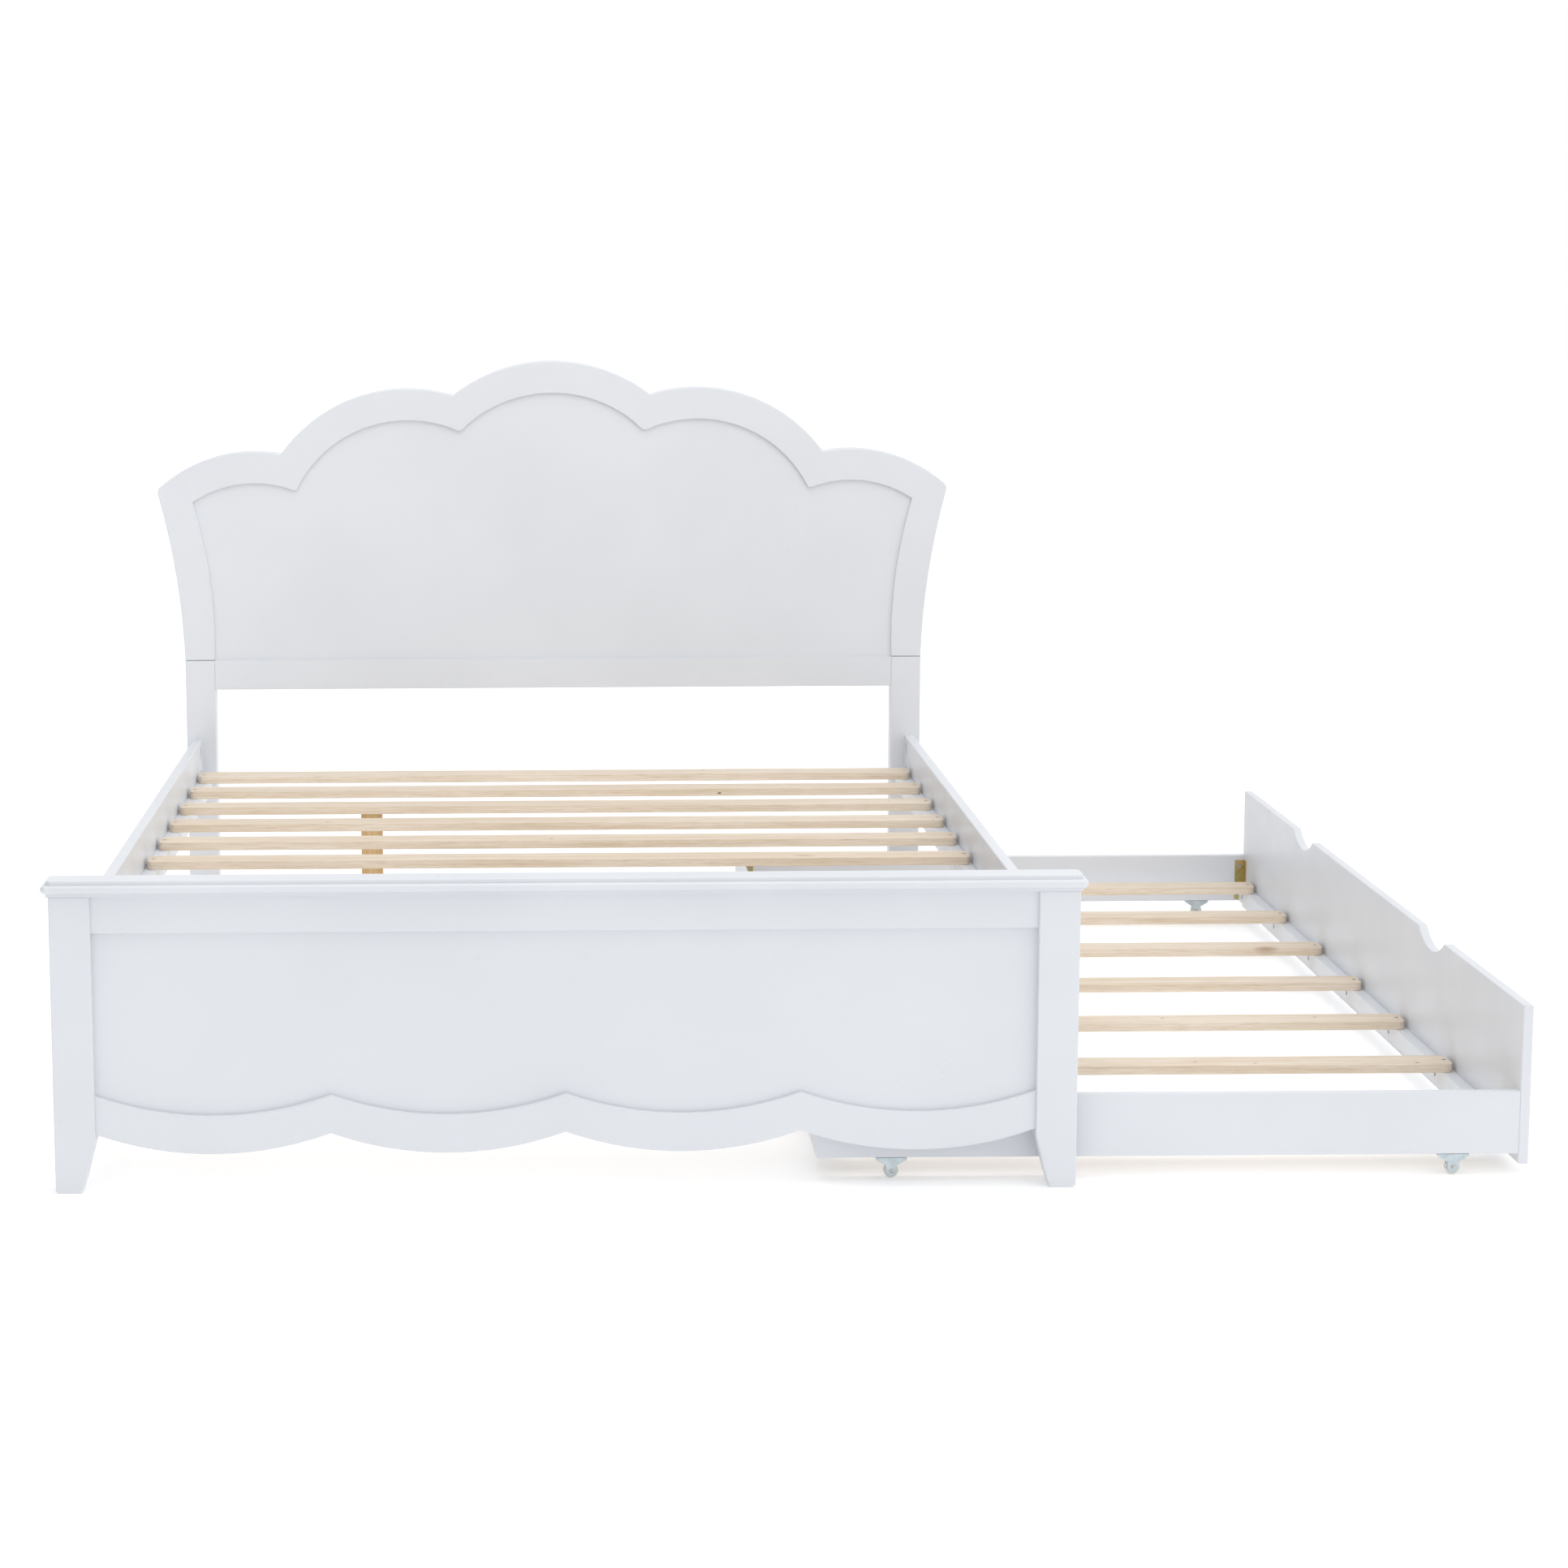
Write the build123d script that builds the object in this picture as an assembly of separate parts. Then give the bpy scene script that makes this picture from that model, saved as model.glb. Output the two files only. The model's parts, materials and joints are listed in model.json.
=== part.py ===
from build123d import *
import math
import os

# Trundle bed: a full-size bed with a scalloped headboard, and a twin trundle that rolls out
# sideways from under it.  X runs across the bed, Y from foot to head, Z up from the floor.
# Millimetres.  The trundle is drawn pulled part way out on the +X side.

# ---- overall sizes ----
bed_width = 1450.0
bed_length = 2015.0
trundle_pull = 671.0

# ---- posts and legs ----
post_width = 58.0
post_depth = 40.0
leg_height = 429.0
leg_taper_height = 75.0
leg_taper_knee = 16.0
leg_taper_in = 15.5
leg_foot_in = 21.0
leg_foot_chamfer = 4.0
arris = 2.0
fine_arris = 1.0

# ---- headboard ----
seam_height = 519.0
lower_rail_height = 58.0
lower_rail_depth = 30.0
middle_lobe_height = 787.2
middle_lobe_radius = 314.4
second_lobe_height = 744.3
second_lobe_radius = 305.5
third_lobe_height = 648.5
third_lobe_radius = 280.3
third_lobe_from_shoulder = 190.0
second_lobe_share = 0.484
shoulder_flare = 49.0
shoulder_round = 15.0
cusp_round = 3.0
outer_side_bow = 10.0
inner_side_bow = 15.0
rim_width = 62.0
rim_tip_trim = 2.6
rim_tip_reach = 8.0
seam_gap = 1.2
headboard_panel_thickness = 12.0
headboard_panel_recess = 6.0
panel_groove = 8.0

# ---- footboard ----
footboard_rail_height = 54.0
footboard_rail_recess = 6.0
footboard_rail_depth = 28.0
footboard_panel_recess = 14.0
footboard_panel_thickness = 12.0
footboard_panel_bottom = 100.0
scallop_count = 4
scallop_sag = 29.5
scallop_tip_height = 140.0
scallop_rail_height = 56.0
cap_strip_height = 5.0
cap_nose_height = 12.0
cap_top_height = 6.0
cap_strip_overhang = 3.0
cap_nose_overhang = 10.0
cap_nose_corner = 8.0
cap_edge_round = 5.9
cap_top_edge_round = 1.5

# ---- side rails, cleats and slats ----
side_rail_thickness = 18.0
side_rail_height = 110.0
side_rail_top = 362.0
side_rail_inset = 12.0
cleat_width = 20.0
cleat_height = 34.0
cleat_end_gap = 25.0
bed_slat_count = 10
bed_slat_width = 60.0
bed_slat_thickness = 14.0
bed_slat_seat = 296.0
bed_slat_first = 117.0
bed_slat_last = 184.0
slat_end_gap = 5.0
slat_corner = 10.0
support_leg_size = 38.0
support_leg_clearance = 9.0
support_leg_slat = 3

# ---- bed bolts ----
bolt_diameter = 8.0
bolt_hole = 8.6
bolt_drop_upper = 22.0
bolt_drop_lower = 69.0
bolt_in_post = 30.0
bolt_slot_from_end = 33.0
bolt_slot_width = 14.0
bolt_slot_height = 27.0
bolt_slot_depth = 15.0
bolt_washer_thickness = 1.6
bolt_washer_width = 11.0
bolt_washer_height = 13.0
bolt_nut_flats = 10.0
bolt_nut_thickness = 6.5
bolt_end_stick_out = 3.0

# ---- trundle ----
trundle_end_clearance = 15.0
trundle_width = 1024.0
trundle_board = 15.0
trundle_panel_bottom = 15.0
trundle_panel_top = 247.5
trundle_rail_bottom = 30.0
trundle_rail_top = 122.0
scoop_width = 158.0
scoop_depth = 25.0
scoop_corner = 2.5
scoop_from_ends = 516.0
trundle_cleat_height = 28.0
trundle_cleat_end_gap = 52.0
trundle_slat_count = 7
trundle_slat_width = 58.0
trundle_slat_thickness = 14.0
trundle_slat_seat = 67.0
trundle_slat_first = 29.0
trundle_slat_last = 70.0
bracket_leg = 19.0
bracket_thickness = 2.0
bracket_bottom = 34.0
bracket_top = 112.0
bracket_screw_from_end = 11.0

# ---- casters ----
wheel_diameter = 21.0
wheel_width = 9.0
wheel_edge_round = 1.5
wheel_hub_recess = 1.0
wheel_hub_diameter = 13.0
axle_diameter = 4.0
axle_fit = 0.05
fork_sheet = 1.5
fork_plate_length = 45.0
fork_plate_lip = 3.0
fork_foot_length = 16.0
fork_from_ends = 108.0

# ---- screws and dowels ----
screw_diameter = 4.0
screw_head_diameter = 8.0
screw_head_height = 2.4
screw_point_length = 5.0
screw_cross_width = 1.2
screw_cross_span = 4.4
screw_cross_depth = 1.2
slat_screw_length = 32.0
slat_screw_in = 8.0
side_cleat_screw_length = 30.0
side_cleat_screw_count = 7
side_cleat_screw_end = 90.0
trundle_cleat_screw_length = 26.0
trundle_cleat_screw_count = 7
trundle_cleat_screw_end = 29.0
counterbore_diameter = 9.0
counterbore_depth = 5.0
bracket_screw_length = 14.0
caster_screw_length = 16.0
caster_screw_spacing = 34.0
dowel_diameter = 8.0
dowel_half_length = 18.0
post_dowel_half_length = 25.0
cap_dowel_rise = 12.0
cap_dowel_count = 4
cap_dowel_from_legs = 160.0
support_dowel_rise = 9.0

# ---- sizes that follow ----
post_outer = bed_width / 2
post_inner = post_outer - post_width
foot_rear = post_depth
head_front = bed_length
head_rear = bed_length + post_depth
shoulder = post_outer + shoulder_flare
third_lobe_center = shoulder - third_lobe_from_shoulder
second_lobe_center = third_lobe_center * second_lobe_share
right_lobes = (
    (second_lobe_center, second_lobe_height, second_lobe_radius),
    (third_lobe_center, third_lobe_height, third_lobe_radius),
)
middle_lobe = (0.0, middle_lobe_height, middle_lobe_radius)
shoulder_height = third_lobe_height + math.sqrt(third_lobe_radius**2 - third_lobe_from_shoulder**2)
headboard_top = middle_lobe_height + middle_lobe_radius
headboard_base = seam_height + seam_gap
rail_outer = post_outer - side_rail_inset
rail_inner = rail_outer - side_rail_thickness
rail_middle = rail_outer - side_rail_thickness / 2
side_cleat_inner = rail_inner - cleat_width
bed_slat_end = rail_inner - slat_end_gap
footboard_rail_bottom = leg_height - footboard_rail_height
footboard_middle_y = footboard_panel_recess + footboard_panel_thickness / 2
trundle_front = rail_outer + trundle_pull
trundle_back = trundle_front - trundle_width
trundle_front_inner = trundle_front - trundle_board
trundle_back_inner = trundle_back + trundle_board
trundle_foot = foot_rear + trundle_end_clearance
trundle_head = head_front - trundle_end_clearance
trundle_foot_inner = trundle_foot + trundle_board
trundle_head_inner = trundle_head - trundle_board
wheel_radius = wheel_diameter / 2
closed_trundle_back = rail_outer - trundle_width
support_leg_center = closed_trundle_back - support_leg_clearance - support_leg_size / 2
origin_x = (trundle_front - shoulder) / 2
origin_y = (head_rear - cap_nose_overhang) / 2
corner = (Align.MIN, Align.MIN, Align.MIN)
middle_bottom = (Align.CENTER, Align.CENTER, Align.MIN)


# ---- small helpers ----
def block(x0, x1, y0, y1, z0, z1):
    return Pos(x0, y0, z0) * Box(x1 - x0, y1 - y0, z1 - z0, align=corner)


def rectangle(x0, x1, y0, y1):
    return Pos((x0 + x1) / 2, (y0 + y1) / 2) * Rectangle(x1 - x0, y1 - y0)


def through_y(outline, y0, y1):
    # An outline drawn in X and Z, made solid from y0 to y1.
    plane = Plane(origin=(0, y1, 0), x_dir=(1, 0, 0), z_dir=(0, -1, 0))
    return extrude(plane * outline, amount=y1 - y0)


def through_x(outline, x0, x1):
    # An outline drawn in Y and Z, made solid from x0 to x1.
    plane = Plane(origin=(x0, 0, 0), x_dir=(0, 1, 0), z_dir=(1, 0, 0))
    return extrude(plane * outline, amount=x1 - x0)


def spread(first, last, count):
    step = (last - first) / (count - 1)
    return [first + step * index for index in range(count)]


def soften(solid, axis, radius):
    # Rounds the edges of the lowest and highest faces along one axis.
    faces = solid.faces().sort_by(axis)
    return fillet(faces[0].edges() + faces[-1].edges(), radius)


def plank(x0, x1, y0, y1, z0, z1, axis, radius):
    # A board with its long edges, those along one axis, slightly rounded.
    board = block(x0, x1, y0, y1, z0, z1)
    return fillet(board.edges().filter_by(axis), radius)


def mirrored(solid):
    return mirror(solid, about=Plane.YZ)


def rod(start, direction, length, diameter):
    # A round rod from a point along one of the main directions.
    plane = Plane(origin=start, z_dir=direction)
    return plane * Cylinder(diameter / 2, length, align=middle_bottom)


def cut_rods(solid, rods):
    for one in rods:
        solid = solid - one
    return solid


def screw(start, direction, length):
    # A countersunk cross-head wood screw: start is the middle of the head's flat face.
    neck = screw_head_height
    outline = Polyline(
        (0, 0),
        (screw_head_diameter / 2, 0),
        (screw_diameter / 2, neck),
        (screw_diameter / 2, length - screw_point_length),
        (0, length),
        close=True,
    )
    body = revolve(Plane.XZ * make_face(outline), Axis.Z)
    bar = Box(screw_cross_span, screw_cross_width, screw_cross_depth, align=middle_bottom)
    body = body - bar - Rot(0, 0, 90) * bar
    return Plane(origin=start, z_dir=direction) * body


def screw_room(start, direction, length):
    # The space that one screw fills, to be taken out of the wood round it.
    outline = Polyline(
        (0, 0),
        (screw_head_diameter / 2, 0),
        (screw_diameter / 2, screw_head_height),
        (screw_diameter / 2, length - screw_point_length),
        (0, length),
        close=True,
    )
    return Plane(origin=start, z_dir=direction) * revolve(Plane.XZ * make_face(outline), Axis.Z)


# ---- where the fasteners go ----
def bed_slat_middles():
    return spread(foot_rear + bed_slat_last, head_front - bed_slat_first, bed_slat_count)


def trundle_slat_middles():
    first = trundle_foot_inner + trundle_slat_first + trundle_slat_width / 2
    last = trundle_head_inner - trundle_slat_last - trundle_slat_width / 2
    return spread(first, last, trundle_slat_count)


def bed_slat_screw_starts():
    top = bed_slat_seat + bed_slat_thickness
    reach = bed_slat_end - slat_screw_in
    return [(side * reach, y, top) for y in bed_slat_middles() for side in (-1, 1)]


def side_cleat_screw_starts(side):
    first = foot_rear + side_cleat_screw_end
    last = head_front - side_cleat_screw_end
    height = bed_slat_seat - cleat_height / 2
    places = spread(first, last, side_cleat_screw_count)
    return [(side * side_cleat_inner, y, height) for y in places]


def trundle_slat_screw_starts():
    top = trundle_slat_seat + trundle_slat_thickness
    left = trundle_back_inner + slat_end_gap + slat_screw_in
    right = trundle_front_inner - slat_end_gap - slat_screw_in
    return [(x, y, top) for y in trundle_slat_middles() for x in (left, right)]


def trundle_cleat_screw_places():
    first = trundle_foot_inner + trundle_cleat_end_gap + trundle_cleat_screw_end
    last = trundle_head_inner - trundle_cleat_end_gap - trundle_cleat_screw_end
    return spread(first, last, trundle_cleat_screw_count)


def trundle_cleat_screw_lines():
    # Each counterbored screw of both cleats: where its head lies and the way it points.
    height = trundle_slat_seat - trundle_cleat_height / 2
    front = trundle_front_inner - cleat_width + counterbore_depth
    back = trundle_back_inner + cleat_width - counterbore_depth
    lines = []
    for y in trundle_cleat_screw_places():
        lines.append(((front, y, height), (1, 0, 0)))
        lines.append(((back, y, height), (-1, 0, 0)))
    return lines


def bracket_corners():
    # Inner corners of the trundle box, each with the ways that its two boards run.
    return [
        (trundle_back_inner, trundle_foot_inner, 1, 1),
        (trundle_front_inner, trundle_foot_inner, -1, 1),
        (trundle_back_inner, trundle_head_inner, 1, -1),
        (trundle_front_inner, trundle_head_inner, -1, -1),
    ]


def bracket_screw_lines():
    middle = (bracket_leg + bracket_thickness) / 2
    heights = (bracket_bottom + bracket_screw_from_end, bracket_top - bracket_screw_from_end)
    lines = []
    for x, y, along_x, along_y in bracket_corners():
        for z in heights:
            lines.append(((x + along_x * middle, y + along_y * bracket_thickness, z), (0, -along_y, 0)))
            lines.append(((x + along_x * bracket_thickness, y + along_y * middle, z), (-along_x, 0, 0)))
    return lines


def caster_places():
    left = trundle_back + fork_from_ends
    right = trundle_front - fork_from_ends
    half = trundle_board / 2
    return [
        (left, trundle_foot + half),
        (right, trundle_foot + half),
        (left, trundle_head - half),
        (right, trundle_head - half),
    ]


def caster_screw_starts():
    height = trundle_rail_bottom - fork_sheet
    half = caster_screw_spacing / 2
    return [(x + side * half, y, height) for x, y in caster_places() for side in (-1, 1)]


def bolt_heights():
    return (side_rail_top - bolt_drop_upper, side_rail_top - bolt_drop_lower)


def bolt_lines():
    # Each bed bolt: the point where a rail's end meets its post, and the way into the rail.
    lines = []
    for side in (-1, 1):
        for z in bolt_heights():
            lines.append(((side * rail_middle, foot_rear, z), 1))
            lines.append(((side * rail_middle, head_front, z), -1))
    return lines


# ---- dowels ----
def headboard_dowels():
    dowels = []
    middle = head_front + post_depth / 2
    rail_middle_y = head_front + headboard_panel_recess + headboard_panel_thickness / 2
    rail_low = seam_height - lower_rail_height
    low = seam_height - post_dowel_half_length
    for side in (-1, 1):
        for across in spread(post_inner + post_width / 4, post_outer - post_width / 4, 2):
            start = (side * across, middle, low)
            dowels.append(rod(start, (0, 0, 1), 2 * post_dowel_half_length, dowel_diameter))
        for z in spread(rail_low + 2 * dowel_diameter, seam_height - panel_groove - dowel_diameter, 2):
            start = (side * (post_inner - dowel_half_length), rail_middle_y, z)
            dowels.append(rod(start, (side, 0, 0), 2 * dowel_half_length, dowel_diameter))
    return dowels


def footboard_dowels():
    dowels = []
    low_z = footboard_panel_bottom - dowel_diameter
    high = spread(footboard_rail_bottom + panel_groove + dowel_diameter, leg_height - dowel_diameter, 2)
    for side in (-1, 1):
        for z in [low_z] + high:
            start = (side * (post_inner - dowel_half_length), footboard_middle_y, z)
            dowels.append(rod(start, (side, 0, 0), 2 * dowel_half_length, dowel_diameter))
    reach = post_inner - cap_dowel_from_legs
    for x in spread(-reach, reach, cap_dowel_count):
        start = (x, footboard_middle_y, leg_height - dowel_half_length)
        dowels.append(rod(start, (0, 0, 1), dowel_half_length + cap_dowel_rise, dowel_diameter))
    return dowels


def support_leg_places():
    middles = bed_slat_middles()
    return [middles[support_leg_slat - 1], middles[-support_leg_slat]]


def support_dowels():
    length = support_dowel_rise + dowel_half_length
    low = bed_slat_seat - dowel_half_length
    starts = [(support_leg_center, y, low) for y in support_leg_places()]
    return [rod(start, (0, 0, 1), length, dowel_diameter) for start in starts]


# ---- headboard ----
def side_region(start, end, bow):
    # The half of the headboard between its middle line and one gently bowed side.
    rise = shoulder_height - headboard_base
    run = end - start
    reach = math.hypot(run, rise)
    bend = ((start + end) / 2 - bow * rise / reach, (headboard_base + shoulder_height) / 2 + bow * run / reach)
    side = ThreePointArc((start, headboard_base), bend, (end, shoulder_height))
    rest = Polyline(
        (end, shoulder_height),
        (end, headboard_top),
        (0, headboard_top),
        (0, headboard_base),
        (start, headboard_base),
    )
    half = make_face(side + rest)
    return half + mirror(half, about=Plane.YZ)


def lobe_region(inset):
    # Round lobes over a plain lower part, all drawn in by the same inset.
    body_half = third_lobe_center + third_lobe_radius - inset
    shape = rectangle(-body_half, body_half, headboard_base, third_lobe_height)
    shape = shape + rectangle(-second_lobe_center, second_lobe_center, headboard_base, second_lobe_height)
    shape = shape + Pos(0, middle_lobe_height) * Circle(middle_lobe_radius - inset)
    for x, z, radius in right_lobes:
        for side in (-1, 1):
            shape = shape + Pos(side * x, z) * Circle(radius - inset)
    return shape


def cusp(left, right, inset):
    # The point where two neighbouring lobes cross, above their centres.
    radius_left = left[2] - inset
    radius_right = right[2] - inset
    across = right[0] - left[0]
    up = right[1] - left[1]
    apart = math.hypot(across, up)
    along = (radius_left**2 - radius_right**2 + apart**2) / (2 * apart)
    off = math.sqrt(radius_left**2 - along**2)
    x = left[0] + (along * across - off * up) / apart
    z = left[1] + (along * up + off * across) / apart
    return x, z


def tip_flats():
    # Small rectangles that cut the rim's pointed tips flat.
    flats = []
    for left, right in ((middle_lobe, right_lobes[0]), right_lobes):
        x, z = cusp(left, right, rim_width)
        for side in (-1, 1):
            low = side * x - rim_tip_reach
            flats.append(rectangle(low, low + 2 * rim_tip_reach, z - rim_tip_reach, z + rim_tip_trim))
    return flats


def headboard_shape(inset, start, bow):
    return lobe_region(inset) & side_region(start, shoulder - inset, bow)


def headboard_rim():
    outer = headboard_shape(0, post_outer, outer_side_bow)
    shoulders = [point for point in outer.vertices() if abs(abs(point.X) - shoulder) < fine_arris]
    outer = fillet(shoulders, shoulder_round)
    cusps = [point for point in outer.vertices() if point.Y > third_lobe_height + third_lobe_radius / 2]
    cusps = [point for point in cusps if abs(point.X) < third_lobe_center]
    outer = fillet(cusps, cusp_round)
    opening = headboard_shape(rim_width, post_inner, inner_side_bow)
    for flat in tip_flats():
        opening = opening + flat
    corners = [point for point in opening.vertices() if abs(point.X) > third_lobe_center]
    opening = fillet([point for point in corners if point.Y > third_lobe_height], cusp_round)
    rim = through_y(outer, head_front, head_rear) - through_y(opening, head_front, head_rear)
    edges = [edge for edge in rim.edges() if edge_on_faces(edge) and edge_clear_of_seam(edge)]
    rim = fillet(edges, arris)
    groove_front = head_front + headboard_panel_recess
    groove = headboard_shape(rim_width - panel_groove, post_inner + panel_groove, inner_side_bow)
    rim = rim - through_y(groove, groove_front, groove_front + headboard_panel_thickness)
    return cut_rods(rim, headboard_dowels())


def edge_on_faces(edge):
    # True for an edge that lies on the headboard's front or back face.
    box = edge.bounding_box()
    flat = box.max.Y - box.min.Y < fine_arris
    near_front = abs(box.min.Y - head_front) < fine_arris
    near_rear = abs(box.max.Y - head_rear) < fine_arris
    return flat and (near_front or near_rear)


def edge_clear_of_seam(edge):
    return edge.bounding_box().max.Z > headboard_base + fine_arris


def headboard_panel():
    front = head_front + headboard_panel_recess
    upper = headboard_shape(rim_width - panel_groove, post_inner + panel_groove, inner_side_bow)
    tongue = rectangle(-post_inner, post_inner, seam_height - panel_groove, seam_height + panel_groove)
    panel = through_y(upper + tongue, front, front + headboard_panel_thickness)
    return cut_rods(panel, headboard_dowels())


def headboard_lower_rail():
    low = seam_height - lower_rail_height
    rail = block(-post_inner, post_inner, head_front, head_front + lower_rail_depth, low, seam_height)
    rail = fillet(rail.edges().filter_by(Axis.X).group_by(Axis.Z)[0], arris)
    front = head_front + headboard_panel_recess
    rear = front + headboard_panel_thickness
    rail = rail - block(-post_inner, post_inner, front, rear, seam_height - panel_groove, seam_height)
    return cut_rods(rail, headboard_dowels())


def leg_outline(height):
    foot = post_inner + leg_foot_in
    knee = post_inner + leg_taper_in
    points = Polyline(
        (post_inner, height),
        (post_inner, leg_taper_height),
        (knee, leg_taper_knee),
        (foot, 0),
        (post_outer - leg_foot_chamfer, 0),
        (post_outer, leg_foot_chamfer),
        (post_outer, height),
        close=True,
    )
    return make_face(points)


def headboard_post():
    # The right-hand post; the left one is its mirror image.
    post = soften(through_y(leg_outline(seam_height), head_front, head_rear), Axis.Y, arris)
    bolts = [bolt_rod(start, way) for start, way in bolt_lines() if way < 0]
    return cut_rods(post, headboard_dowels() + bolts)


# ---- footboard ----
def footboard_leg():
    leg = soften(through_y(leg_outline(leg_height), 0, post_depth), Axis.Y, arris)
    top = footboard_rail_bottom + panel_groove
    front = footboard_panel_recess
    rear = front + footboard_panel_thickness
    leg = leg - block(post_inner, post_inner + panel_groove, front, rear, footboard_panel_bottom, top)
    bolts = [bolt_rod(start, way) for start, way in bolt_lines() if way > 0]
    return cut_rods(leg, footboard_dowels() + bolts)


def footboard_upper_rail():
    front = footboard_rail_recess
    rear = front + footboard_rail_depth
    rail = block(-post_inner, post_inner, front, rear, footboard_rail_bottom, leg_height)
    rail = fillet(rail.edges().filter_by(Axis.X).group_by(Axis.Z)[0], arris)
    panel_rear = footboard_panel_recess + footboard_panel_thickness
    panel_front = footboard_panel_recess
    low = footboard_rail_bottom
    groove = block(-post_inner, post_inner, panel_front, panel_rear, low, low + panel_groove)
    return cut_rods(rail - groove, footboard_dowels())


def footboard_panel():
    half = post_inner + panel_groove
    rear = footboard_panel_recess + footboard_panel_thickness
    top = footboard_rail_bottom + panel_groove
    return block(-half, half, footboard_panel_recess, rear, footboard_panel_bottom, top)


def scalloped_line(height):
    # A line of hanging arcs between the legs, from left to right or back.
    width = 2 * post_inner / scallop_count
    arcs = []
    for index in range(scallop_count):
        start = -post_inner + index * width
        low = (start + width / 2, height - scallop_sag)
        arcs.append(ThreePointArc((start, height), low, (start + width, height)))
    return arcs


def footboard_scalloped_rail():
    low = scallop_tip_height - scallop_rail_height
    left = Line((-post_inner, low), (-post_inner, scallop_tip_height))
    right = Line((post_inner, low), (post_inner, scallop_tip_height))
    outline = make_face(scalloped_line(low) + scalloped_line(scallop_tip_height) + [left, right])
    tips = [point for point in outline.vertices() if abs(point.X) < post_inner - cusp_round]
    outline = fillet(tips, cusp_round)
    front = footboard_rail_recess
    rail = through_y(outline, front, front + footboard_rail_depth)
    curved = [edge for edge in rail.edges() if edge.geom_type == GeomType.CIRCLE]
    rail = fillet([edge for edge in curved if edge.center().Z < footboard_panel_bottom], arris)
    curved = [edge for edge in rail.edges() if edge.geom_type == GeomType.CIRCLE]
    rail = chamfer([edge for edge in curved if edge.center().Z > footboard_panel_bottom], arris)
    panel_rear = footboard_panel_recess + footboard_panel_thickness
    panel_front = footboard_panel_recess
    top = scallop_tip_height + arris
    slot = block(-post_inner, post_inner, panel_front, panel_rear, footboard_panel_bottom, top)
    return cut_rods(rail - slot, footboard_dowels())


def cap_slab(overhang, low, height, corner_round):
    half = post_outer + overhang
    slab = block(-half, half, -overhang, post_depth + overhang, low, low + height)
    return fillet(slab.edges().filter_by(Axis.Z), corner_round)


def footboard_cap():
    nose_low = leg_height + cap_strip_height
    top_low = nose_low + cap_nose_height
    strip = cap_slab(cap_strip_overhang, leg_height, cap_strip_height, arris)
    nose = cap_slab(cap_nose_overhang, nose_low, cap_nose_height, cap_nose_corner)
    nose = soften(nose, Axis.Z, cap_edge_round)
    top = cap_slab(cap_strip_overhang, top_low, cap_top_height, cap_nose_corner)
    top = fillet(top.faces().sort_by(Axis.Z)[-1].edges(), cap_top_edge_round)
    return cut_rods(strip + nose + top, footboard_dowels())


# ---- side rails ----
def bolt_rod(start, way):
    # One bed bolt: threaded into the post, through the rail's end and its nut.
    x, y, z = start
    grip = bolt_slot_from_end - bolt_slot_width / 2
    beyond = bolt_washer_thickness + bolt_nut_thickness + bolt_end_stick_out
    length = bolt_in_post + grip + beyond
    return rod((x, y - way * bolt_in_post, z), (0, way, 0), length, bolt_diameter)


def bolt_slot(start, way):
    # The upright slot in a rail's inner face, where a bolt's nut is tightened.
    x, y, z = start
    side = math.copysign(1, x)
    middle = y + way * bolt_slot_from_end
    outline = Pos(middle, z) * SlotOverall(bolt_slot_height, bolt_slot_width, rotation=90)
    mouth = side * rail_inner
    bottom = side * (rail_inner + bolt_slot_depth)
    return through_x(outline, min(mouth, bottom), max(mouth, bottom))


def side_rail():
    # The right-hand rail; the left one is its mirror image.
    low = side_rail_top - side_rail_height
    rail = plank(rail_inner, rail_outer, foot_rear, head_front, low, side_rail_top, Axis.Y, arris)
    for start, way in bolt_lines():
        if start[0] > 0:
            rail = rail - bolt_slot(start, way)
            rail = rail - rod(start, (0, way, 0), bolt_slot_from_end, bolt_hole)
    rooms = [screw_room(start, (1, 0, 0), side_cleat_screw_length) for start in side_cleat_screw_starts(1)]
    return cut_rods(rail, rooms)


def slat_cleat():
    low = bed_slat_seat - cleat_height
    foot = foot_rear + cleat_end_gap
    head = head_front - cleat_end_gap
    cleat = plank(side_cleat_inner, rail_inner, foot, head, low, bed_slat_seat, Axis.Y, fine_arris)
    rooms = [screw_room(start, (1, 0, 0), side_cleat_screw_length) for start in side_cleat_screw_starts(1)]
    rooms += [screw_room(start, (0, 0, -1), slat_screw_length) for start in bed_slat_screw_starts()]
    return cut_rods(cleat, rooms)


def bed_bolts():
    return [bolt_rod(start, way) for start, way in bolt_lines()]


def bolt_washers():
    washers = []
    for (x, y, z), way in bolt_lines():
        seat = y + way * (bolt_slot_from_end - bolt_slot_width / 2)
        end = seat + way * bolt_washer_thickness
        plate = Pos(x, z) * SlotOverall(bolt_washer_height, bolt_washer_width, rotation=90)
        washer = through_y(plate, min(seat, end), max(seat, end))
        washers.append(washer - bolt_rod((x, y, z), way))
    return washers


def bolt_nuts():
    nuts = []
    for (x, y, z), way in bolt_lines():
        seat = y + way * (bolt_slot_from_end - bolt_slot_width / 2 + bolt_washer_thickness)
        end = seat + way * bolt_nut_thickness
        hexagon = Pos(x, z) * RegularPolygon(bolt_nut_flats / 2, 6, major_radius=False, rotation=30)
        nut = through_y(hexagon, min(seat, end), max(seat, end))
        nuts.append(nut - bolt_rod((x, y, z), way))
    return nuts


# ---- slats and support legs ----
def slat(x0, x1, middle, width, seat, thickness):
    board = block(x0, x1, middle - width / 2, middle + width / 2, seat, seat + thickness)
    board = fillet(board.edges().filter_by(Axis.Z), slat_corner)
    return soften(board, Axis.Z, fine_arris)


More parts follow.
